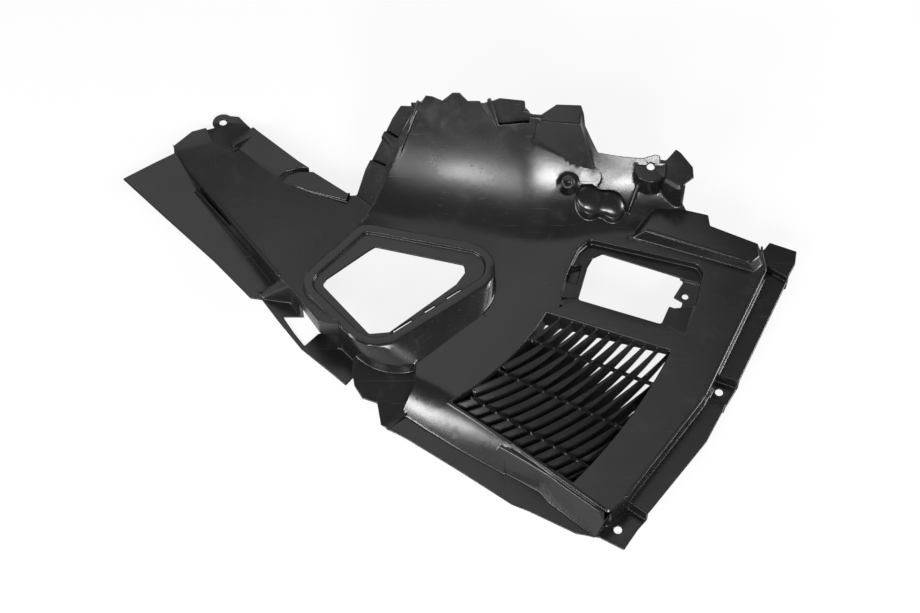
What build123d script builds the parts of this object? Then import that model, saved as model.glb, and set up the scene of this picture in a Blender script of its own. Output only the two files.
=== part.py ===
from build123d import *
import os
from math import radians, tan

# Driving sizes of the moulding, in mm. The floor is z = 0, and the low screw tabs rest on it.
wall = 2.5
tab_level = wall
flange_level = 16.0
upper_tab_level = 24.0
panel_level = 34.0
plateau_level = 45.0
rim_level = 48.0
ledge_drop = 4.0
recess_drop = 8.0
edge_flat = 1.5

# Grille: upright blades on arcs about one centre, under three thin ribs, hung in a frame under the panel.
blade_count = 14
blade_pitch = 11.6
blade_width = 1.8
blade_centre = (-109, 227)
first_radius = 314.7
rib_width = 1.5
grille_drop = 3.0
frame_bottom = 1.5

# Screw holes.
tab_hole = 8.0
small_hole = 6.5

# Blocks reach from far below the moulding to far above it before they are trimmed.
low = -80.0
high = 300.0


def bend(reach, soft):
    """Zero before the bend, a parabola within soft of it, and the reach itself past it."""
    if reach < -soft:
        return 0.0
    if reach > soft:
        return reach
    return (reach + soft) ** 2 / (4 * soft)


def ease(share):
    """A smooth step from 0 to 1."""
    share = min(max(share, 0.0), 1.0)
    return share * share * (3 - 2 * share)


def main_height(x, y):
    """Top of the main skin: flat panel, bowl at the back, fall to the left and to the front."""
    right = ease((x - 60) / 120)
    foot = 112 + 0.26 * bend(120 - x, 120)
    bowl = (2.0 - 0.7 * right) * bend(y - foot, 56 - 28 * right)
    inside = 0.817 * (x + 105) - 0.577 * (y - 93)
    curl = 0.35 * bend(20 - inside, 40)
    leftward = 0.36 * (y - 60) - 0.933 * (x - 37)
    fall_left = 0.18 * ease((60 - y) / 60) * bend(leftward, 60)
    beyond = -0.52 * x - 0.854 * (y + 123)
    fall_front = 1.6 * bend(beyond + 2.5, 15 + 10 * ease((30 - x) / 60)) * (1 - ease((x - 40) / 60))
    fall_front -= bend(fall_front - 60, 20)
    return panel_level + bowl + curl - fall_left - fall_front


def below_main(inset):
    """Solid below the main skin, taken down by the inset at right angles to it."""
    step = 0.5
    rows = []
    for i in range(35):
        x = -130 + 460 * i / 34
        row = []
        for j in range(35):
            y = -245 + 475 * j / 34
            z = main_height(x, y)
            along = (main_height(x + step, y) - z) / step
            across = (main_height(x, y + step) - z) / step
            row.append((x, y, z - inset * (1 + along**2 + across**2) ** 0.5))
        rows.append(row)
    face = Face.make_surface_from_array_of_points(rows, tol=0.3, min_deg=3)
    return Solid.extrude(face, (0, 0, -500))


def below_plane(point, slope, inset):
    """Solid below a plane through the point that rises by the slopes along x and y."""
    plane = Plane(origin=point, z_dir=(-slope[0], -slope[1], 1))
    return plane * Pos(0, 0, -300 - inset) * Box(1600, 1600, 600)


def outline(points, corners):
    """Face on an outline. One corner radius goes to every point that turns clearly and has room for it."""
    if isinstance(corners, (int, float)):
        radius = corners
        corners = []
        for i, here in enumerate(points):
            ahead = Vector(*points[(i + 1) % len(points)]) - Vector(*here)
            behind = Vector(*here) - Vector(*points[i - 1])
            turn = ahead.get_angle(behind)
            room = 0.45 * min(ahead.length, behind.length) / max(tan(radians(turn / 2)), 0.01)
            corners.append(min(radius, room) if turn > 30 else 0)
    return make_face(FilletPolyline(*points, radius=corners, close=True))


def block(points, corners, bottom, top, grow=0.0):
    """Upright block on an outline, grown outwards or shrunk."""
    face = outline(points, corners)
    if grow:
        face = offset(face, amount=grow)
    return Pos(0, 0, bottom) * extrude(face, amount=top - bottom)


def drafted(top_points, top, foot_points, foot, corners, inset, foot_corners=None):
    """Block with slanting sides between two outlines of the same number of points."""
    upper = outline(top_points, corners)
    lower = outline(foot_points, foot_corners or corners)
    if inset:
        upper = offset(upper, amount=-inset)
        lower = offset(lower, amount=-inset)
    return loft([Pos(0, 0, foot) * lower, Pos(0, 0, top - inset) * upper], ruled=True)


def ease_edge(body, spots, size):
    """Takes the sharpness off the edge nearest to each spot with a narrow flat."""
    for spot in spots:
        edge = body.edges().sort_by_distance(Vertex(*spot))[0]
        body = body.chamfer(size, None, [edge])
    return body


# Free edge of the moulding, clockwise from the tip of the arm.
free_edge = [
    (-358, 180), (-349, 186), (-328, 200), (-306, 214), (-307, 224), (-289, 243), (-266, 251), (-258, 269),
    (-240, 267), (-218, 241), (-172, 196), (-118, 150), (-108, 151), (-99, 167), (-70, 197),
    (-61, 203), (-40, 193), (-35, 196), (-28, 195), (-18, 192), (-8, 195), (0, 194), (8, 189), (24, 187),
    (40, 189), (66, 186), (73, 177), (82, 176), (98, 189), (123, 188), (127, 170), (141, 155), (187, 152),
    (199, 154), (211, 152), (222, 166), (227, 161), (238, 143), (238, 130), (228, 122), (233, 114),
    (255, 108), (256, 95), (307, 71), (308, 77), (313, 80), (319, 88), (346, 77), (343, 61), (335, 46),
    (277, -72), (263, -95), (259, -105), (240, -140), (182, -214), (170, -228), (156, -249), (133, -236),
    (111, -232), (66, -208), (50, -201), (1, -166), (-50, -131), (-78, -114), (-82, -92), (-97, -87),
    (-105, -74), (-107, -60), (-114, -69), (-130, -54), (-160, -27), (-184, 5), (-203, 32), (-215, 34),
    (-255, 78), (-311, 133),
]

# Main skin. Its corners stay sharp where they lie outside the free edge.
main_points = [
    (310, 215), (310, 66), (312, 49), (240, -100), (156, -212), (140, -226), (46, -150), (42, -190),
    (-85, -130), (-60, -103), (-46, -82), (-44, -50), (-60, 20), (-107, 93), (-68, 160), (-30, 215),
]
main_corners = [0, 6, 6, 6, 6, 6, 4, 0, 0, 6, 6, 0, 0, 0, 6, 0]


def main_skin(inset):
    """Panel, bowl and saddle in one smooth skin, with the sharpness taken off its free sides."""
    body = below_main(inset) & block(main_points, main_corners, low - inset, high, -inset)
    if inset:
        return body
    spots = [(280, -20), (-53, -92), (-85, 130)]
    return ease_edge(body, [(x, y, main_height(x, y)) for x, y in spots], edge_flat)


def right_flange(inset):
    """Strip beside the panel, in two lengths with the middle screw tab between them, and the upper tab."""
    upper = [(280, 66), (312, 57), (365, 38), (365, -40), (292, -79), (249, -62), (240, -30)]
    lower = [(215, -80), (239, -87), (285, -110), (200, -234), (161, -205), (150, -180)]
    body = block(upper, 0, low - inset, flange_level - inset, -inset)
    body += block(lower, 0, low - inset, flange_level - inset, -inset)
    tab = [(298, 62), (315, 58), (340, 40), (370, 60), (350, 100), (310, 100)]
    body += block(tab, 0, low - inset, upper_tab_level - inset, -inset)
    if inset:
        return body
    return ease_edge(body, [(265, -68, flange_level), (250, -92, flange_level)], 1)


def front_slope(inset):
    """Slanting wall from the front edge of the panel to the front flange."""
    top = [(60, -110), (42, -149), (84, -183), (94, -192), (139, -228), (150, -205)]
    foot = [(40, -115), (24, -157), (76, -188), (84, -200), (128, -237), (150, -205)]
    body = drafted(top, panel_level - 4, foot, 0, 0, inset)
    return body & below_plane((90, -188, panel_level - 4), (0.1, 0), inset)


def plateau(inset):
    """Raised field at the right of the bowl."""
    top = [(189, 88), (293, 49), (303, 57), (303, 190), (215, 190), (209, 139)]
    foot = [(170, 86), (302, 43), (310, 53), (310, 205), (200, 205), (192, 139)]
    return drafted(top, plateau_level, foot, panel_level - 6, 0, inset)


def field(points, corners, spot, slope, inset):
    """Block under a sloping plane."""
    return block(points, corners, low - inset, high, -inset) & below_plane(spot, slope, inset)


def arm(inset):
    """Side arm, falling towards the back, with two lighter fields that rise to its back edge."""
    points = [
        (-303, 214), (-287, 184), (-182, 36), (-172, 26), (-140, -22), (-120, -27), (-60, 20), (-60, 110),
        (-85, 165), (-118, 180), (-225, 280), (-275, 280), (-330, 240),
    ]
    corners = [0, 4, 4, 4, 4, 0, 0, 0, 0, 0, 0, 0, 0]
    body = field(points, corners, (-200, -20, rim_level - 1), (0, -0.16), inset)
    first = [(-237, 219), (-193, 174), (-184, 183), (-170, 186), (-150, 184), (-150, 230), (-210, 270)]
    body += field(first, 0, (-190, 171, 16.4), (0.16, 0.01), inset)
    second = [(-188, 170), (-158, 155), (-118, 140), (-110, 165), (-150, 181), (-170, 183), (-182, 180)]
    body += field(second, 0, (-188, 170, 16.6), (0.1, -0.07), inset)
    ridge = [(-246, 223), (-242, 217), (-219, 239), (-212, 252), (-224, 247)]
    body += field(ridge, 0, (-230, 232, 12.5), (0, -0.16), inset)
    return body


def strip(inset):
    """Low strip along the arm, rising a little towards its tip, with a fin and an end rib in the channel."""
    points = [(-400, 260), (-280, 260), (-170, 40), (-195, 20), (-230, 20), (-400, 150)]
    body = field(points, 0, (-215, 32, tab_level), (-0.02, 0.02), inset)
    if inset:
        return body
    fin = [(-280, 163), (-191, 51), (-189, 53), (-278, 165)]
    body += field(fin, 0, (-191, 51, 22), (0, -0.1), 0)
    end_rib = [(-206, 40), (-181, 42), (-174, 28), (-200, 32)]
    body += field(end_rib, 0, (-206, 40, 4), (0.95, 0), 0)
    return body


def bowl_flange(inset):
    """Sloping flange along the left end of the bowl, lower in two places."""
    points = [(-112, 110), (-125, 150), (-80, 212), (-40, 220), (-36, 200), (-64, 159), (-100, 104)]
    slope = (0.975, 0.858)
    body = field(points, 0, (-108, 150, 20), slope, inset)
    for lowered in (
        [(-82, 192), (-60, 210), (-45, 191), (-64, 176)],
        [(-98, 176), (-84, 187), (-68, 171), (-77, 160)],
    ):
        pocket = block(lowered, 0, low, high, inset)
        body -= pocket - below_plane((-108, 150, 14), slope, inset)
    return body


def flap(inset):
    """Small sloping field between the collar and the front-left edge."""
    points = [
        (-107, -45), (-107, -61), (-113, -72), (-108, -95), (-80, -130), (-50, -100), (-30, -50), (-60, -30),
    ]
    return field(points, 0, (-80, -45, 17), (0, 0.2), inset)


# Rim of the collar: front, right, back and left corner.
collar_top = [(-87, -63), (76, 58), (-100, 97), (-166, 24)]
collar_corners = [38, 30, 20, 25]
rim_width = 10


def collar(inset):
    """Raised frame of the four-sided opening, upright at the left and slanting at the right."""
    foot = [(-70, -81), (113, 50), collar_top[2], collar_top[3]]
    foot_corners = [60, 55, collar_corners[2], collar_corners[3]]
    foot_level = panel_level - 8
    body = drafted(collar_top, rim_level, foot, foot_level, collar_corners, inset, foot_corners)
    body += block(foot, foot_corners, low - inset, foot_level, -inset)
    return body if inset else ease_edge(body, [(0, -2, rim_level)], 1.5)


def wing(inset):
    """Raised lug on the top edge of the bowl."""
    top = [(80, 168), (98, 195), (124, 195), (121, 164)]
    foot = [(68, 148), (80, 205), (142, 205), (138, 143)]
    return drafted(top, 125, foot, 75, 0, inset)


def bosses(inset):
    """Round screw boss, rolled lug, twin blister, fin and round pad at the right end of the bowl."""
    boss = Pos(195, 143, 0) * Cylinder(17 - inset, 78 - inset, align=(Align.CENTER, Align.CENTER, Align.MIN))
    lug = [(206, 128), (210, 152), (222, 168), (248, 156), (244, 126), (222, 116)]
    roll = block(lug, 6, 0, 80 - inset, -inset)
    lobes = Pos(133, 119) * Circle(14) + Pos(157, 116) * Circle(13)
    lobes = offset(fillet(lobes.vertices(), 8), amount=-inset)
    blister = extrude(lobes, amount=high) & below_plane((145, 117, 54), (-0.2, 0.5), inset)
    if inset:
        return [boss, roll, blister]
    roll = ease_edge(roll, [(243, 142, 80)], 3)
    fin = field([(183, 138), (172, 113), (174, 112), (186, 137)], 0, (184, 137, 70), (0.4, 0.9), 0)
    pad = extrude(Pos(134, 138) * Ellipse(11, 7.5), amount=high) & below_plane((134, 138, 69.5), (0, 1.2), 0)
    return [boss, roll, blister, fin, pad]


def headroom(inset):
    """Space above the wing and the rolled lug, which end the rise of the bowl."""
    space = block([(66, 172), (66, 215), (142, 215), (142, 160)], 0, 125 - inset, high, inset)
    return space + block([(205, 118), (205, 180), (260, 180), (260, 118)], 0, 80 - inset, high, inset)


def screw_recess(inset):
    """Round screw recess sunk square to the foot of the bowl."""
    x, y = 111, 133
    bottom = Plane(origin=(x, y, main_height(x, y)), z_dir=(0, -1, 1)) * Pos(0, 0, -9 - inset)
    return bottom * Cylinder(11 + inset, 60, align=(Align.CENTER, Align.CENTER, Align.MIN))


def top_pockets(inset):
    """Folded pocket in the top edge of the bowl, and the narrow wedge beside it."""
    wide = block([(22, 205), (40, 172), (70, 170), (76, 205)], 0, low, high, inset)
    wedge = block([(1, 205), (14, 205), (41, 168)], 0, low, high, inset)
    wide -= below_plane((45, 178, 116), (0.2, 1.9), inset)
    return wide + (wedge - below_plane((2, 187, 126), (0.2, 1.46), inset))


recess_points = [(133, 85), (241, 55), (247, 45), (221, -37), (105, 4), (101, 14), (108, 41), (121, 72)]


def recess(inset):
    """Field round the second opening, level with the panel in front, with pockets for a screw and a clip."""
    body = block(recess_points, 8, low, high, inset)
    body -= below_plane((133, 85, panel_level - recess_drop), (-0.028, -0.09), inset)
    pocket = [(214, 22), (226, 41), (244, 35), (237, 6), (221, 2), (209, 7)]
    body += block(pocket, 0, panel_level - 10 - inset, high, inset)
    clip = [(113, 54), (124, 57), (118, 33), (107, 36)]
    return body + block(clip, 0, panel_level - 11 - inset, high, inset)


def skin(inset):
    """Everything under the top side of the moulding, or under its inner side when inset by the wall."""
    body = main_skin(inset).fuse(
        Pos(0, 0, tab_level - inset - 50) * Box(900, 700, 100),
        right_flange(inset),
        front_slope(inset),
        plateau(inset),
        arm(inset),
        strip(inset),
        bowl_flange(inset),
        flap(inset),
        collar(inset),
        wing(inset),
        *bosses(inset),
    )
    body -= recess(inset)
    body -= block(collar_top, collar_corners, rim_level - ledge_drop - inset, high, inset - rim_width)
    body -= screw_recess(inset)
    body -= top_pockets(inset)
    body -= headroom(inset)
    return body


# Four-sided grille field: top left, top right, bottom right and bottom left corner.
grille_corners = [(87, -3), (209, -47), (108, -193), (-8, -104)]


def grille_face():
    """Grille opening with its two curved sides."""
    top_left, top_right, bottom_right, bottom_left = grille_corners
    sides = [
        Line(top_left, top_right),
        ThreePointArc(top_right, (164, -124), bottom_right),
        Line(bottom_right, bottom_left),
        ThreePointArc(bottom_left, (56, -48), top_left),
    ]
    return make_face(sides)


def grille():
    """Frame, curved blades and cross ribs of the grille, shallower towards its top right corner."""
    opening = grille_face()
    inner = extrude(offset(opening, amount=0.6), amount=high)
    blade_top = panel_level - grille_drop
    frame = offset(opening, amount=2, kind=Kind.TANGENT) - opening
    body = extrude(frame, amount=panel_level - 1.8)
    for i in range(blade_count):
        radius = first_radius + i * blade_pitch
        ring = Circle(radius + blade_width / 2) - Circle(radius - blade_width / 2)
        body += extrude(Pos(*blade_centre) * ring, amount=blade_top) & inner
    for ends in (((74, -34), (195, -86)), ((36, -67), (160, -134)), ((10, -98), (125, -176))):
        rib = extrude(trace(Line(*ends), line_width=rib_width), amount=6)
        body += Pos(0, 0, blade_top - 5) * rib & inner
    body -= Pos(0, 0, frame_bottom - 50) * Box(900, 900, 100)
    return body - below_plane((*grille_corners[1], 22), (0.185, 0.195), 0)


def hole(x, y, bottom, top, size):
    """Upright round hole."""
    return Pos(x, y, (bottom + top) / 2) * Cylinder(size / 2, top - bottom)


collar_opening = [
    (-86, 69), (4, 47), (5, 38), (-4, 24), (-70, -32), (-90, -34), (-138, 23), (-134, 30), (-93, 64),
]
recess_opening = [
    (146, 72), (228, 41), (216, 21), (225, 15), (223, 9), (211, 8), (201, -16), (119, 13), (130, 54),
    (136, 66),
]
slots = [((-66, -32), (-48, -19)), ((-35, -9), (-25, -2)), ((-13, 7), (1, 17))]
arm_hole = (-257, 259)
side_gap = [(-180, 11), (-160, 11), (-127, -3), (-144, -9), (-157, -23), (-168, -8)]
side_shelf = [(-127, -3), (-144, -9), (-157, -23), (-146, -36), (-126, -36), (-122, -20)]

# The arm's screw tab ends in a round eye.
trim = outline(free_edge, 0) + Pos(*arm_hole) * Circle(11.5)
liner = (skin(0) - skin(wall)) & Pos(0, 0, low) * extrude(trim, amount=high - low)
liner -= block(collar_opening, 4, 20, high)
liner -= block(recess_opening, [3, 3, 0, 0, 0, 0, 3, 3, 0, 3], 10, high)
for ends in slots:
    liner -= Pos(0, 0, rim_level - 10) * extrude(trace(Line(*ends), line_width=2), amount=20)
liner -= block(side_gap, 0, low, flange_level + 8)
liner -= block(side_shelf, 0, tab_level, flange_level + 8)
liner += block(side_shelf, 0, 0, tab_level)
liner -= extrude(grille_face(), amount=high)
liner += grille()
for x, y in ((151, -228), (258, -77), arm_hole):
    liner -= hole(x, y, low, 10, tab_hole)
liner -= hole(228, 22, 15, 40, small_hole)
liner -= hole(195, 145, 60, 90, tab_hole)

# The origin lies on the floor under the middle of the free edge.
middle = trim.bounding_box().center()
liner = Pos(-middle.X, -middle.Y, 0) * liner

os.makedirs("parts", exist_ok=True)
export_step(liner, "parts/liner_panel.step")
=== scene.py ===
"""Moulded wheel arch liner in black polypropylene: its finish, a pale studio and the camera."""

import logging
import math
from dataclasses import dataclass, field
from enum import Enum

import bmesh
import bpy
import numpy as np
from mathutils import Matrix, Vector


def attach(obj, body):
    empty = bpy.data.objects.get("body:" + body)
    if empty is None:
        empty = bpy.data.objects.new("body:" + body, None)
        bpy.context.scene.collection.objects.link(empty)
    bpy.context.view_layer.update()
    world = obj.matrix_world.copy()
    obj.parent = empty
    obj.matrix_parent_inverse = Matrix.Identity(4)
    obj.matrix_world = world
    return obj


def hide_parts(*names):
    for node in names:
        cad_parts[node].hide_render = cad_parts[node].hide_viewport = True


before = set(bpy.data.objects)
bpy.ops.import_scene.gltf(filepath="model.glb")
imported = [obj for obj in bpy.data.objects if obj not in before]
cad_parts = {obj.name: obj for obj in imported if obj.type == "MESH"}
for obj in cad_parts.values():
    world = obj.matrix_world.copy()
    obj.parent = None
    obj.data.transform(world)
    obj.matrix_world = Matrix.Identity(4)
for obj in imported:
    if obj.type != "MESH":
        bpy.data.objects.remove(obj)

log = logging.getLogger("liner")

Point = tuple[float, float, float]
Colour = tuple[float, float, float, float]


class Side(Enum):
    """Where a studio lamp hangs, seen from the camera."""

    FRONT = "front"
    FRONT_LEFT = "front_left"
    BACK = "back"
    LEFT = "left"
    RIGHT = "right"


def link_new(name: str, data: bpy.types.ID) -> bpy.types.Object:
    """Puts new data into the scene.

    Args:
        name: name of the object.
        data: mesh, lamp or camera.

    Returns:
        The new object at the origin.
    """
    obj = bpy.data.objects.new(name, data)
    bpy.context.scene.collection.objects.link(obj)
    return obj


@dataclass
class Wiring:
    """Adds nodes to one shader tree and links them."""

    tree: bpy.types.NodeTree

    def add(self, kind: str, **values: object) -> bpy.types.Node:
        """Adds a node.

        Args:
            kind: node type without its ShaderNode prefix.
            values: values of inputs, with _ for each space, or a socket to link to that input.

        Returns:
            The new node.
        """
        node = self.tree.nodes.new(f"ShaderNode{kind}")
        for name, value in values.items():
            self.feed(node.inputs[name.replace("_", " ")], value)
        return node

    def feed(self, target: bpy.types.NodeSocket, value: object) -> None:
        """Links a socket to the target, or sets the target's own value."""
        if isinstance(value, bpy.types.NodeSocket):
            self.tree.links.new(value, target)
        else:
            target.default_value = value

    def math(self, operation: str, first: object, second: object = 0.0) -> bpy.types.NodeSocket:
        """Adds a Math node.

        Args:
            operation: name of the operation.
            first: socket or number.
            second: socket or number.

        Returns:
            The result.
        """
        node = self.tree.nodes.new("ShaderNodeMath")
        node.operation = operation
        self.feed(node.inputs[0], first)
        self.feed(node.inputs[1], second)
        return node.outputs["Value"]

    def ramp(self, value: object, start: float, end: float, low: float, high: float) -> bpy.types.NodeSocket:
        """Adds a smooth Map Range node.

        Args:
            value: socket that runs from start to end.
            start: value that gives low.
            end: value that gives high.
            low: first result.
            high: last result.

        Returns:
            The result.
        """
        node = self.add("MapRange", Value=value, From_Min=start, From_Max=end, To_Min=low, To_Max=high)
        node.interpolation_type = "SMOOTHSTEP"
        return node.outputs["Result"]


@dataclass(frozen=True)
class ShaderGroup:
    """A shader group that is built once; a finish places it with its own values."""

    name: str
    inputs: tuple[tuple[str, str, float], ...]
    outputs: tuple[str, ...]

    def start(self) -> tuple[Wiring, bpy.types.Node, bpy.types.Node]:
        """Makes the empty group with its sockets.

        Returns:
            The wiring of the group, its input node and its output node.
        """
        tree = bpy.data.node_groups.new(self.name, "ShaderNodeTree")
        for name, kind, value in self.inputs:
            socket = tree.interface.new_socket(name, in_out="INPUT", socket_type=f"NodeSocket{kind}")
            if kind == "Float":
                socket.default_value = value
        for name in self.outputs:
            tree.interface.new_socket(name, in_out="OUTPUT", socket_type="NodeSocketFloat")
        return Wiring(tree), tree.nodes.new("NodeGroupInput"), tree.nodes.new("NodeGroupOutput")


@dataclass(frozen=True)
class MouldedGrain(ShaderGroup):
    """Fine spark-eroded grain of a moulding tool, and the slow unevenness of its polish."""

    name: str = "moulded_grain"
    inputs: tuple[tuple[str, str, float], ...] = (("Vector", "Vector", 0.0), ("Grain Scale", "Float", 1500.0))
    outputs: tuple[str, ...] = ("Height", "Mottle")
    mottle_scale: float = 14.0

    def build(self) -> bpy.types.NodeTree:
        """Builds the group: height is fine noise, and mottle is slow noise.

        Returns:
            The group.
        """
        wiring, start, end = self.start()
        place = start.outputs["Vector"]
        fine = wiring.add("TexNoise", Vector=place, Scale=start.outputs["Grain Scale"], Detail=2.0)
        slow = wiring.add("TexNoise", Vector=place, Scale=self.mottle_scale, Detail=5.0)
        wiring.feed(end.inputs["Height"], fine.outputs["Fac"])
        wiring.feed(end.inputs["Mottle"], slow.outputs["Fac"])
        return wiring.tree


@dataclass(frozen=True)
class HandlingScuffs(ShaderGroup):
    """Light rubbed patches and hairline scratches from handling."""

    name: str = "handling_scuffs"
    inputs: tuple[tuple[str, str, float], ...] = (("Vector", "Vector", 0.0), ("Amount", "Float", 1.0))
    outputs: tuple[str, ...] = ("Rub", "Scratch")
    cloud_scale: float = 38.0
    rub_span: tuple[float, float] = (0.52, 0.78)
    hair_turn: Point = (0.0, 0.5, 0.6)
    hair_stretch: Point = (12.0, 700.0, 700.0)
    hair_span: tuple[float, float] = (0.70, 0.76)

    def build(self) -> bpy.types.NodeTree:
        """Builds the group: rub is the peaks of cloudy noise, and scratch those of noise drawn out along one line.

        Returns:
            The group.
        """
        wiring, start, end = self.start()
        place, amount = start.outputs["Vector"], start.outputs["Amount"]
        cloud = wiring.add("TexNoise", Vector=place, Scale=self.cloud_scale, Detail=6.0, Roughness=0.65)
        rub = wiring.ramp(cloud.outputs["Fac"], *self.rub_span, 0.0, 1.0)
        wiring.feed(end.inputs["Rub"], wiring.math("MULTIPLY", rub, amount))
        drawn = wiring.add("Mapping", Vector=place, Rotation=self.hair_turn, Scale=self.hair_stretch)
        hair = wiring.add("TexNoise", Vector=drawn.outputs["Vector"], Scale=1.0, Detail=1.0)
        line = wiring.ramp(hair.outputs["Fac"], *self.hair_span, 0.0, 1.0)
        wiring.feed(end.inputs["Scratch"], wiring.math("MULTIPLY", line, amount))
        return wiring.tree


@dataclass(frozen=True)
class BlackPolypropylene:
    """Semi-matte black plastic with fine grain, rubbed a little where hands and tools have been."""

    name: str = "black_polypropylene"
    dark: Colour = (0.005, 0.0051, 0.0053, 1.0)
    pale: Colour = (0.010, 0.0101, 0.0104, 1.0)
    rubbed: Colour = (0.03, 0.03, 0.0305, 1.0)
    gloss: tuple[float, float] = (0.2, 0.3)
    gloss_span: tuple[float, float] = (0.3, 0.7)
    refraction: float = 1.49
    rub_share: float = 0.35
    scratch_share: float = 0.5
    wear_dulling: float = 0.25
    grain_strength: float = 0.25
    grain_depth: float = 0.0001

    def material(self) -> bpy.types.Material:
        """Builds the material.

        Returns:
            A node material on Object coordinates.
        """
        material = bpy.data.materials.new(self.name)
        material.use_nodes = True
        wiring = Wiring(material.node_tree)
        shader = material.node_tree.nodes["Principled BSDF"]
        wiring.feed(shader.inputs["IOR"], self.refraction)
        place = wiring.add("TexCoord").outputs["Object"]
        grain = wiring.add("Group")
        grain.node_tree = MouldedGrain().build()
        wiring.feed(grain.inputs["Vector"], place)
        scuffs = wiring.add("Group")
        scuffs.node_tree = HandlingScuffs().build()
        wiring.feed(scuffs.inputs["Vector"], place)
        mottle = grain.outputs["Mottle"]
        tone = self.blend(wiring, mottle, self.dark, self.pale)
        rubbed = wiring.math("MULTIPLY", scuffs.outputs["Rub"], self.rub_share)
        scratched = wiring.math("MULTIPLY", scuffs.outputs["Scratch"], self.scratch_share)
        worn = wiring.math("MAXIMUM", rubbed, scratched)
        wiring.feed(shader.inputs["Base Color"], self.blend(wiring, worn, tone, self.rubbed))
        gloss = wiring.ramp(mottle, *self.gloss_span, *self.gloss)
        dulled = wiring.math("MULTIPLY", worn, self.wear_dulling)
        wiring.feed(shader.inputs["Roughness"], wiring.math("ADD", gloss, dulled))
        height = grain.outputs["Height"]
        bump = wiring.add("Bump", Strength=self.grain_strength, Distance=self.grain_depth, Height=height)
        wiring.feed(shader.inputs["Normal"], bump.outputs["Normal"])
        return material

    def blend(self, wiring: Wiring, share: object, first: object, second: object) -> bpy.types.NodeSocket:
        """Mixes two colours.

        Args:
            wiring: wiring of the material.
            share: share of the second colour.
            first: socket or colour.
            second: socket or colour.

        Returns:
            The mixed colour.
        """
        node = wiring.add("Mix")
        node.data_type = "RGBA"
        wiring.feed(node.inputs["Factor"], share)
        wiring.feed(node.inputs["A"], first)
        wiring.feed(node.inputs["B"], second)
        return node.outputs["Result"]


def bend(reach: np.ndarray, soft: np.ndarray | float) -> np.ndarray:
    """Zero before the bend, a parabola within soft of it, and the reach itself past it."""
    near = (reach + soft) ** 2 / (4 * soft)
    return np.where(reach < -soft, 0.0, np.where(reach > soft, reach, near))


def ease(share: np.ndarray) -> np.ndarray:
    """A smooth step from 0 to 1: three times the square less twice the cube."""
    share = np.clip(share, 0.0, 1.0)
    return share * share * (3 - 2 * share)


@dataclass(frozen=True)
class PlanLine:
    """A line in plan, in millimetres, and the way that counts as past it."""

    point: tuple[float, float]
    way: tuple[float, float]

    def past(self, x: np.ndarray, y: np.ndarray) -> np.ndarray:
        """How far each point lies past the line."""
        return self.way[0] * (x - self.point[0]) + self.way[1] * (y - self.point[1])


@dataclass(frozen=True)
class MainSkin:
    """The panel, bowl and saddle as one height over the floor, in millimetres from the panel's own plan origin."""

    middle: tuple[float, float] = (-6.0, 10.75)
    level: float = 34.0
    right_start: float = 60.0
    right_span: float = 120.0
    foot: float = 112.0
    foot_swing: float = 0.26
    foot_bend: float = 120.0
    bowl_slope: float = 2.0
    bowl_slope_loss: float = 0.7
    bowl_soft: float = 56.0
    bowl_soft_loss: float = 28.0
    curl_line: PlanLine = PlanLine((-105.0, 93.0), (0.817, -0.577))
    curl_reach: float = 20.0
    curl_slope: float = 0.35
    curl_soft: float = 40.0
    left_line: PlanLine = PlanLine((37.0, 60.0), (-0.933, 0.36))
    left_start: float = 60.0
    left_span: float = 60.0
    left_slope: float = 0.18
    left_soft: float = 60.0
    front_line: PlanLine = PlanLine((0.0, -123.0), (-0.52, -0.854))
    front_lead: float = 2.5
    front_slope: float = 1.6
    front_span: float = 60.0
    front_end: float = 40.0
    front_soft: float = 15.0
    front_soft_gain: float = 10.0
    front_soft_start: float = 30.0
    front_drop: float = 60.0
    front_drop_soft: float = 20.0

    def height(self, points: np.ndarray) -> np.ndarray:
        """Height of the skin: a flat, plus the bowl and its curl, less the falls to the left and the front.

        Args:
            points: array of points in metres, one per row.

        Returns:
            The skin's height in metres at each point.
        """
        x = points[:, 0] * 1000 + self.middle[0]
        y = points[:, 1] * 1000 + self.middle[1]
        right = ease((x - self.right_start) / self.right_span)
        foot = self.foot + self.foot_swing * bend(self.foot_bend - x, self.foot_bend)
        slope = self.bowl_slope - self.bowl_slope_loss * right
        bowl = slope * bend(y - foot, self.bowl_soft - self.bowl_soft_loss * right)
        curl = self.curl_slope * bend(self.curl_reach - self.curl_line.past(x, y), self.curl_soft)
        fade = self.left_slope * ease((self.left_start - y) / self.left_span)
        fall_left = fade * bend(self.left_line.past(x, y), self.left_soft)
        soft = self.front_soft + self.front_soft_gain * ease((self.front_soft_start - x) / self.front_span)
        front = self.front_slope * bend(self.front_line.past(x, y) + self.front_lead, soft)
        fall_front = front * (1 - ease((x - self.front_end) / self.front_span))
        fall_front = fall_front - bend(fall_front - self.front_drop, self.front_drop_soft)
        return (self.level + bowl + curl - fall_left - fall_front) / 1000


def dress(piece: bpy.types.Object, finish: bpy.types.Material) -> None:
    """Gives a piece the moulding's finish and lets it ride on the panel."""
    piece.data.materials.append(finish)
    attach(piece, "root")


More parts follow.
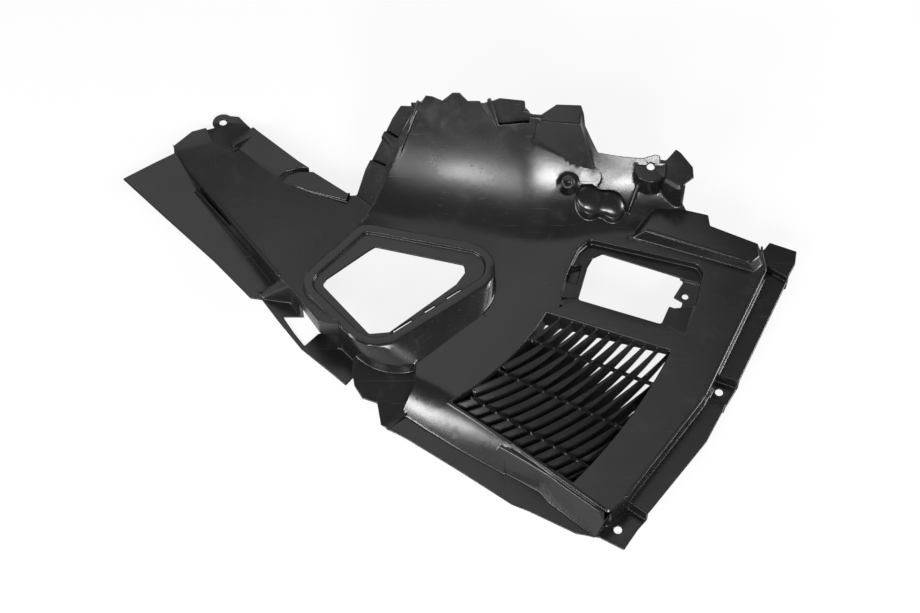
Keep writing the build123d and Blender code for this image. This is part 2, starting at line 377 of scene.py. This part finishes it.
def surface(name: str, points: np.ndarray) -> bpy.types.Object:
    """Makes a smooth mesh of rows of points, each row a closed ring.

    Args:
        name: name of the piece.
        points: array of strips, rows, points of a row and 3 coordinates, in plan millimetres.

    Returns:
        The new piece.
    """
    strips, rows, columns = points.shape[:3]
    index = np.arange(strips * rows * columns).reshape(strips, rows, columns)
    index = np.concatenate([index, index[:, :, :1]], axis=2)
    corners = (index[:, :-1, :-1], index[:, :-1, 1:], index[:, 1:, 1:], index[:, 1:, :-1])
    quads = np.stack(corners, axis=-1).reshape(-1, 4)
    shift = np.array([*MainSkin.middle, 0.0])
    mesh = bpy.data.meshes.new(name)
    mesh.from_pydata(((points.reshape(-1, 3) - shift) / 1000).tolist(), [], quads.tolist())
    mesh.shade_smooth()
    return link_new(name, mesh)


@dataclass
class GrilleSlats:
    """Slanting slats on the blades of the grille, wide at the front left and fading to the back right."""

    count: int = 14
    pitch: float = 11.6
    first_radius: float = 314.7
    centre: tuple[float, float] = (-109.0, 227.0)
    top: float = 31.0
    width: float = 6.5
    fall: float = 0.9
    steps: int = 48
    corners: tuple[tuple[float, float], ...] = ((87, -3), (209, -47), (108, -193), (-8, -104))
    bulges: tuple[tuple[float, float], ...] = ((164, -124), (56, -48))
    border_points: int = 24
    sweep: tuple[float, float] = (-100.0, -20.0)
    sweep_steps: int = 1600
    fade_line: PlanLine = PlanLine((60.0, -120.0), (0.8, 0.6))
    fade_span: float = 120.0
    least_width: float = 0.3
    # Each corner of a slat's section: its offset, its share of the width and its lift.
    profile: tuple[Point, ...] = (
        (-0.5, 0.0, 0.0), (0.0, 0.0, 0.35), (0.0, 0.12, 0.1), (0.0, 0.5, 0.0), (0.0, 1.0, 0.25), (0.5, 1.0, -0.3),
        (0.0, 1.0, -1.0), (0.0, 0.0, -1.2), (-0.5, 0.0, -0.6),
    )

    def border(self) -> np.ndarray:
        """Points round the grille field: two straight sides, and two parabolas through the bulge points.

        Returns:
            Array of points, one per row.
        """
        back_left, back_right, front_right, front_left = (np.array(corner, float) for corner in self.corners)
        share = np.linspace(0, 1, self.border_points)[:, None]
        sides = []
        for start, bulge, end in (
            (back_right, np.array(self.bulges[0]), front_right),
            (front_left, np.array(self.bulges[1]), back_left),
        ):
            pull = 2 * bulge - (start + end) / 2
            sides.append((1 - share) ** 2 * start + 2 * share * (1 - share) * pull + share**2 * end)
        return np.concatenate(sides)

    def inside(self, points: np.ndarray) -> np.ndarray:
        """Says which points lie in the grille field, by counting the sides that a line to the right crosses.

        Args:
            points: array of points, with x and y last.

        Returns:
            True for each point in the field.
        """
        start = self.border()
        end = np.roll(start, -1, axis=0)
        x, y = points[..., 0, None], points[..., 1, None]
        spans = (start[:, 1] > y) != (end[:, 1] > y)
        # A level side spans nothing, so its rise only has to differ from zero.
        rise = np.where(end[:, 1] == start[:, 1], 1e-9, end[:, 1] - start[:, 1])
        crossing = start[:, 0] + (y - start[:, 1]) * (end[:, 0] - start[:, 0]) / rise
        return (spans & (x < crossing)).sum(axis=-1) % 2 == 1

    def build(self, finish: bpy.types.Material) -> bpy.types.Object:
        """Carries a slanting profile along the arc of every blade, from one side of the field to the other.

        The slat falls outwards from the blade's top; its width shrinks by a smooth step towards the back right.

        Args:
            finish: material of the moulding.

        Returns:
            All slats as one piece.
        """
        radius = self.first_radius + self.pitch * np.arange(self.count)
        trial = np.radians(np.linspace(*self.sweep, self.sweep_steps))
        centre = np.array(self.centre)
        ring = np.stack([np.cos(trial), np.sin(trial)], axis=-1)
        within = self.inside(centre + radius[:, None, None] * ring)
        first = trial[within.argmax(axis=1)]
        last = trial[len(trial) - 1 - within[:, ::-1].argmax(axis=1)]
        angle = first[:, None] + (last - first)[:, None] * np.linspace(0, 1, self.steps)
        outward = np.stack([np.cos(angle), np.sin(angle)], axis=-1)
        spine = centre + radius[:, None, None] * outward
        away = self.fade_line.past(spine[..., 0], spine[..., 1]) / self.fade_span
        width = (self.least_width + self.width * (1 - ease(away)))[..., None]
        offset, share, lift = np.array(self.profile).T
        reach = offset + share * width
        height = self.top + lift - self.fall * share * width
        flat = spine[..., None, :] + reach[..., None] * outward[..., None, :]
        points = np.concatenate([flat, height[..., None]], axis=-1)
        ends = np.broadcast_to(points.mean(axis=2, keepdims=True), points.shape)
        points = np.concatenate([ends[:, :1], points, ends[:, -1:]], axis=1)
        slats = surface("grille_slats", points)
        dress(slats, finish)
        return slats


@dataclass
class BlisterDome:
    """Rounded double dome on the twin blister at the foot of the bowl."""

    left: tuple[float, float, float] = (133.0, 119.0, 13.6)
    right: tuple[float, float, float] = (157.0, 116.0, 12.6)
    level: Point = (145.0, 117.0, 53.7)
    slope: tuple[float, float] = (-0.2, 0.5)
    rise: float = 6.0
    waist: float = 3.0
    waist_spread: float = 0.5
    dip: float = 0.3
    dip_spread: float = 0.4
    join: tuple[float, float] = (0.6, 1.2)
    steps: tuple[int, int] = (14, 72)

    def build(self, finish: bpy.types.Material) -> bpy.types.Object:
        """Draws rings from the rim to the line between the two lobes; each ring stands on a quarter ellipse.

        The rim is a circle about each lobe, joined by a smooth step and drawn in at the waist.

        Args:
            finish: material of the moulding.

        Returns:
            The dome.
        """
        inward = np.linspace(0, 1, self.steps[0])[:, None]
        turn = np.linspace(0, 2 * np.pi, self.steps[1], endpoint=False)[None, :]
        share = ease((np.cos(turn) + self.join[0]) / self.join[1])
        lobes = zip(self.left, self.right)
        centre_x, centre_y, radius = (left + share * (right - left) for left, right in lobes)
        between = 2 * share - 1
        reach = (radius - self.waist * np.exp(-(between / self.waist_spread) ** 2)) * (1 - inward)
        x = centre_x + reach * np.cos(turn)
        y = centre_y + reach * np.sin(turn)
        crown = 1 - self.dip * np.exp(-(between / self.dip_spread) ** 2)
        top = self.rise * np.sqrt(1 - (1 - inward) ** 2) * crown
        z = self.level[2] + self.slope[0] * (x - self.level[0]) + self.slope[1] * (y - self.level[1]) + top
        dome = surface("blister_dome", np.stack([x, y, z], axis=-1)[None])
        dress(dome, finish)
        return dome


@dataclass
class RecessRings:
    """Stepped funnel in the round screw recess, sunk square to the foot of the bowl."""

    place: tuple[float, float] = (111.0, 133.0)
    steps: int = 56
    profile: tuple[tuple[float, float], ...] = (
        (10.7, -2.2), (9.8, -2.6), (9.0, -5.0), (7.4, -5.4), (6.8, -7.2), (5.2, -7.4), (4.8, -6.2), (3.9, -6.0),
        (3.4, -7.6), (0.02, -8.2),
    )

    def build(self, finish: bpy.types.Material) -> bpy.types.Object:
        """Turns a stepped profile about an axis that leans 45 degrees to the front.

        Args:
            finish: material of the moulding.

        Returns:
            The funnel.
        """
        skin = MainSkin()
        spot = (np.array([self.place]) - np.array(skin.middle)) / 1000
        mouth = np.array([*self.place, skin.height(spot)[0] * 1000])
        axis = np.array([0.0, -1.0, 1.0]) / math.sqrt(2)
        side = np.array([1.0, 0.0, 0.0])
        up = np.cross(axis, side)
        turn = np.linspace(0, 2 * np.pi, self.steps, endpoint=False)
        profile = np.array(self.profile)
        ring = np.cos(turn)[:, None] * side + np.sin(turn)[:, None] * up
        points = mouth + profile[:, 0, None, None] * ring + profile[:, 1, None, None] * axis
        funnel = surface("recess_rings", points[None])
        dress(funnel, finish)
        return funnel


@dataclass
class EdgeBeads:
    """Round beads along the panel's right and front edges, the arm's edge and the plateau's edge."""

    radius: float = 1.7
    sides: int = 14
    tip_rings: int = 6
    middle_rings: int = 12
    runs: tuple[tuple[Point, Point], ...] = (
        ((309.8, 47.0, 33.2), (238.8, -99.5, 33.2)),
        ((236.2, -103.2, 33.2), (157.0, -209.0, 33.2)),
        ((138.5, -223.0, 33.2), (49.0, -150.6, 33.2)),
        ((-285.0, 184.0, 13.7), (-181.5, 38.0, 37.0)),
        ((190.0, 89.3, 44.2), (292.0, 51.0, 44.2)),
    )

    def build(self, finish: bpy.types.Material) -> bpy.types.Object:
        """Carries a circle along each straight run; its radius falls to nothing at both ends on a quarter circle.

        The far tip closes by a thin cone that runs back inside the bead to its start.

        Args:
            finish: material of the moulding.

        Returns:
            All beads as one piece.
        """
        start, end = (np.array([run[i] for run in self.runs])[:, None, None, :] for i in (0, 1))
        length = np.linalg.norm(end - start, axis=-1, keepdims=True)
        tip = self.radius * (1 - np.cos(np.linspace(0, np.pi / 2, self.tip_rings)))[None, :, None, None]
        share = np.linspace(0, 1, self.middle_rings)[None, 1:-1, None, None]
        middle = self.radius + share * (length - 2 * self.radius)
        origin = np.zeros_like(length)
        along = np.concatenate([origin + tip, middle, length - tip[:, :0:-1], origin], axis=1)
        edge = np.minimum(np.minimum(along, length - along) / self.radius, 1.0)
        reach = self.radius * np.sqrt(np.clip(1 - (1 - edge) ** 2, 0.0, 1.0))
        ahead = (end - start) / length
        side = np.cross(ahead, np.array([0.0, 0.0, 1.0]))
        side = side / np.linalg.norm(side, axis=-1, keepdims=True)
        up = np.cross(side, ahead)
        turn = np.linspace(0, 2 * np.pi, self.sides, endpoint=False)[None, None, :, None]
        points = start + along * ahead + reach * (np.cos(turn) * side + np.sin(turn) * up)
        beads = surface("edge_beads", points)
        dress(beads, finish)
        return beads


@dataclass
class LinerShell:
    """The moulded panel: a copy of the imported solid, finer on its curved skin and rounded on its edges."""

    node: str = "liner_panel"
    weld: float = 0.0001
    near_skin: float = 0.0004
    sag: float = 0.00003
    rounds: int = 4
    edge_radius: float = 0.0014
    edge_segments: int = 3
    depth_share: float = 0.42
    edge_angle: float = math.radians(52)
    crease: float = math.radians(36)
    flat_angle: float = math.radians(0.3)
    least_upward: float = 0.2
    skin: MainSkin = field(default_factory=MainSkin)

    def build(self, finish: bpy.types.Material) -> bpy.types.Object:
        """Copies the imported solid, welds it, refines its curved skin and rounds its edges.

        Args:
            finish: material of the moulding.

        Returns:
            The dressed panel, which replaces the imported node.
        """
        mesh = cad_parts[self.node].data.copy()
        mesh.name = "liner_shell"
        work = bmesh.new()
        work.from_mesh(mesh)
        bmesh.ops.remove_doubles(work, verts=work.verts, dist=self.weld)
        self.refine(work)
        self.mark_edges(work)
        for face in work.faces:
            face.smooth = True
        work.to_mesh(mesh)
        work.free()
        shell = link_new("liner_shell", mesh)
        self.round_edges(shell)
        mesh.materials.clear()
        dress(shell, finish)
        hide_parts(self.node)
        return shell

    def skin_faces(self, work: bmesh.types.BMesh) -> list[bmesh.types.BMFace]:
        """Finds the faces of the upper side that lie on the main skin.

        Args:
            work: welded faces of the panel.

        Returns:
            Those faces.
        """
        work.verts.index_update()
        points = np.array([vertex.co for vertex in work.verts])
        on_skin = np.abs(points[:, 2] - self.skin.height(points)) < self.near_skin
        return [
            face for face in work.faces
            if face.normal.z > self.least_upward and all(on_skin[vertex.index] for vertex in face.verts)
        ]

    def refine(self, work: bmesh.types.BMesh) -> None:
        """Splits the edges on the upper skin whose middle lies off its formula, and sets the skin's points to it.

        Args:
            work: welded triangles of the panel.
        """
        ceiling = max(vertex.co.z for vertex in work.verts)
        for _ in range(self.rounds):
            faces = self.skin_faces(work)
            edges = list({edge for face in faces for edge in face.edges})
            middle = np.array([[vertex.co for vertex in edge.verts] for edge in edges]).mean(axis=1)
            off = np.abs(self.skin.height(middle) - middle[:, 2]) > self.sag
            chosen = [edge for edge, wanted in zip(edges, off) if wanted]
            bmesh.ops.subdivide_edges(work, edges=chosen, cuts=1)
            bmesh.ops.triangulate(work, faces=[face for face in work.faces if len(face.verts) > 3])
            moved = list({vertex for face in faces if face.is_valid for vertex in face.verts})
            places = np.array([vertex.co for vertex in moved])
            for vertex, height in zip(moved, np.minimum(self.skin.height(places), ceiling)):
                if abs(vertex.co.z - height) < self.near_skin:
                    vertex.co.z = height
            work.normal_update()

    def mark_edges(self, work: bmesh.types.BMesh) -> None:
        """Joins the flat faces off the skin, and gives each clear edge its share of the edge radius.

        The radius stays within a share of the depth of the narrower face beside the edge, so that thin blades, ribs
        and the wall's free edge get less. An edge that turns less than a clear one, but more than a crease, stays
        crisp.

        Args:
            work: refined faces of the panel.
        """
        on_skin = set(self.skin_faces(work))
        flats = [
            edge for edge in work.edges
            if len(edge.link_faces) == 2 and not on_skin.intersection(edge.link_faces)
        ]
        bmesh.ops.dissolve_limit(work, angle_limit=self.flat_angle, verts=[], edges=flats)
        on_skin = set(self.skin_faces(work))
        share = work.edges.layers.float.new("bevel_weight_edge")
        for edge in work.edges:
            turn = edge.calc_face_angle(0.0) if len(edge.link_faces) == 2 else 0.0
            edge.smooth = not self.crease < turn < self.edge_angle
            if turn < self.edge_angle:
                continue
            start = edge.verts[0].co
            along = (edge.verts[1].co - start).normalized()
            depths = [
                max((vertex.co - start).cross(along).length for vertex in face.verts)
                for face in edge.link_faces if face not in on_skin
            ]
            edge[share] = min([1.0] + [self.depth_share * depth / self.edge_radius for depth in depths])
        bmesh.ops.triangulate(work, faces=[face for face in work.faces if len(face.verts) > 3])

    def round_edges(self, shell: bpy.types.Object) -> None:
        """Rounds every edge of the moulding a little, as the tool leaves it."""
        bevel = shell.modifiers.new("moulded_edges", "BEVEL")
        bevel.width = self.edge_radius
        bevel.segments = self.edge_segments
        bevel.limit_method = "WEIGHT"
        bevel.use_clamp_overlap = False
        bevel.loop_slide = False
        even = shell.modifiers.new("even_normals", "WEIGHTED_NORMAL")
        even.keep_sharp = True


@dataclass(frozen=True)
class SoftBox:
    """A studio lamp that looks at the panel."""

    side: Side
    place: Point
    size: tuple[float, float]
    power: float

    def build(self, aim: Point) -> bpy.types.Object:
        """Hangs the lamp.

        Args:
            aim: point it looks at.

        Returns:
            The lamp.
        """
        data = bpy.data.lights.new(f"soft_box_{self.side.value}", "AREA")
        data.shape = "RECTANGLE"
        data.size, data.size_y = self.size
        data.energy = self.power
        lamp = link_new(data.name, data)
        lamp.location = self.place
        lamp.rotation_euler = (Vector(aim) - Vector(self.place)).to_track_quat("-Z", "Y").to_euler()
        return lamp


@dataclass
class Studio:
    """Pale floor, soft lamps, even sky and the camera."""

    aim: Point = (0.006, -0.01075, 0.040)
    elevation: float = math.radians(58)
    distance: float = 2.0
    focal_pixels: float = 2000.0
    image_width: float = 920.0
    sensor: float = 36.0
    floor_reach: float = 6.0
    floor_tone: Colour = (0.86, 0.86, 0.86, 1.0)
    pool: tuple[float, float] = (0.8, 1.6)
    pool_share: float = 0.85
    # Reach of the ambient occlusion, and the span over which it fades the floor's glow in reflections: painted
    # shade on the floor under the panel.
    cover_reach: float = 0.3
    cover: tuple[float, float] = (0.3, 0.8)
    sky: float = 0.16
    lamps: tuple[SoftBox, ...] = (
        SoftBox(Side.FRONT, (0.35, -1.75, 1.0), (0.6, 0.35), 28.0),
        SoftBox(Side.FRONT_LEFT, (-0.8, -1.65, 1.15), (0.5, 0.35), 16.0),
        SoftBox(Side.BACK, (-0.4, 1.15, 1.85), (1.7, 1.7), 9.0),
        SoftBox(Side.RIGHT, (1.95, 0.1, 0.62), (0.8, 0.5), 36.0),
        SoftBox(Side.LEFT, (-1.68, -1.05, 0.75), (0.8, 0.5), 34.0),
    )

    def build(self) -> None:
        """Builds everything round the object."""
        self.build_floor()
        self.build_sky()
        self.build_camera()
        for lamp in self.lamps:
            lamp.build(self.aim)

    def build_floor(self) -> bpy.types.Object:
        """Lays one flat square under the object, white in a pool round it, with painted shade under the object
        where reflections see the floor.

        Returns:
            The floor.
        """
        reach = self.floor_reach
        mesh = bpy.data.meshes.new("floor")
        corners = np.array([(-reach, -reach, 0), (reach, -reach, 0), (reach, reach, 0), (-reach, reach, 0)])
        mesh.from_pydata(corners.tolist(), [], [(0, 1, 2, 3)])
        floor = link_new("floor", mesh)
        material = bpy.data.materials.new("pale_floor")
        material.use_nodes = True
        material.node_tree.nodes.clear()
        wiring = Wiring(material.node_tree)
        seen = wiring.add("LightPath")
        # Ambient occlusion takes the glow away under the object for glossy rays only: painted shade on the floor
        # under the panel, seen in reflections.
        occlusion = wiring.add("AmbientOcclusion", Distance=self.cover_reach)
        unshaded_share = wiring.ramp(occlusion.outputs["AO"], *self.cover, 0.0, 1.0)
        views = wiring.math("MAXIMUM", seen.outputs["Is Camera Ray"], seen.outputs["Is Transmission Ray"])
        views = wiring.math("MAXIMUM", views, wiring.math("MULTIPLY", seen.outputs["Is Glossy Ray"], unshaded_share))
        away = wiring.tree.nodes.new("ShaderNodeVectorMath")
        away.operation = "LENGTH"
        wiring.feed(away.inputs[0], wiring.add("TexCoord").outputs["Object"])
        near = wiring.ramp(away.outputs["Value"], *self.pool, self.pool_share, 0.0)
        mix = wiring.tree.nodes.new("ShaderNodeMixShader")
        wiring.feed(mix.inputs["Fac"], wiring.math("MULTIPLY", views, near))
        wiring.feed(mix.inputs[1], wiring.add("BsdfDiffuse", Color=self.floor_tone).outputs["BSDF"])
        wiring.feed(mix.inputs[2], wiring.add("Emission").outputs["Emission"])
        wiring.add("OutputMaterial", Surface=mix.outputs["Shader"])
        mesh.materials.append(material)
        return floor

    def build_sky(self) -> None:
        """Sets an even pale sky."""
        world = bpy.data.worlds.new("sky")
        bpy.context.scene.world = world
        world.use_nodes = True
        sky = world.node_tree.nodes["Background"]
        sky.inputs["Color"].default_value = (1.0, 1.0, 1.0, 1.0)
        sky.inputs["Strength"].default_value = self.sky

    def build_camera(self) -> bpy.types.Object:
        """Places the camera on the side that the bowl opens to.

        Returns:
            The scene's camera.
        """
        data = bpy.data.cameras.new("camera")
        data.sensor_width = self.sensor
        data.lens = self.sensor * self.focal_pixels / self.image_width
        camera = link_new("camera", data)
        back = Vector((0.0, -math.cos(self.elevation), math.sin(self.elevation)))
        camera.location = Vector(self.aim) + back * self.distance
        camera.rotation_euler = (-back).to_track_quat("-Z", "Y").to_euler()
        bpy.context.scene.camera = camera
        return camera


def main() -> None:
    """Builds the panel and the studio in order."""
    logging.basicConfig(level=logging.INFO, format="%(name)s: %(message)s")
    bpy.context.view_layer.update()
    bpy.context.scene.view_settings.view_transform = "Standard"
    finish = BlackPolypropylene().material()
    for part in (LinerShell(), EdgeBeads(), GrilleSlats(), BlisterDome(), RecessRings()):
        piece = part.build(finish)
        log.info("%s: %d faces", piece.name, len(piece.data.polygons))
    Studio().build()


if __name__ == "__main__":
    main()
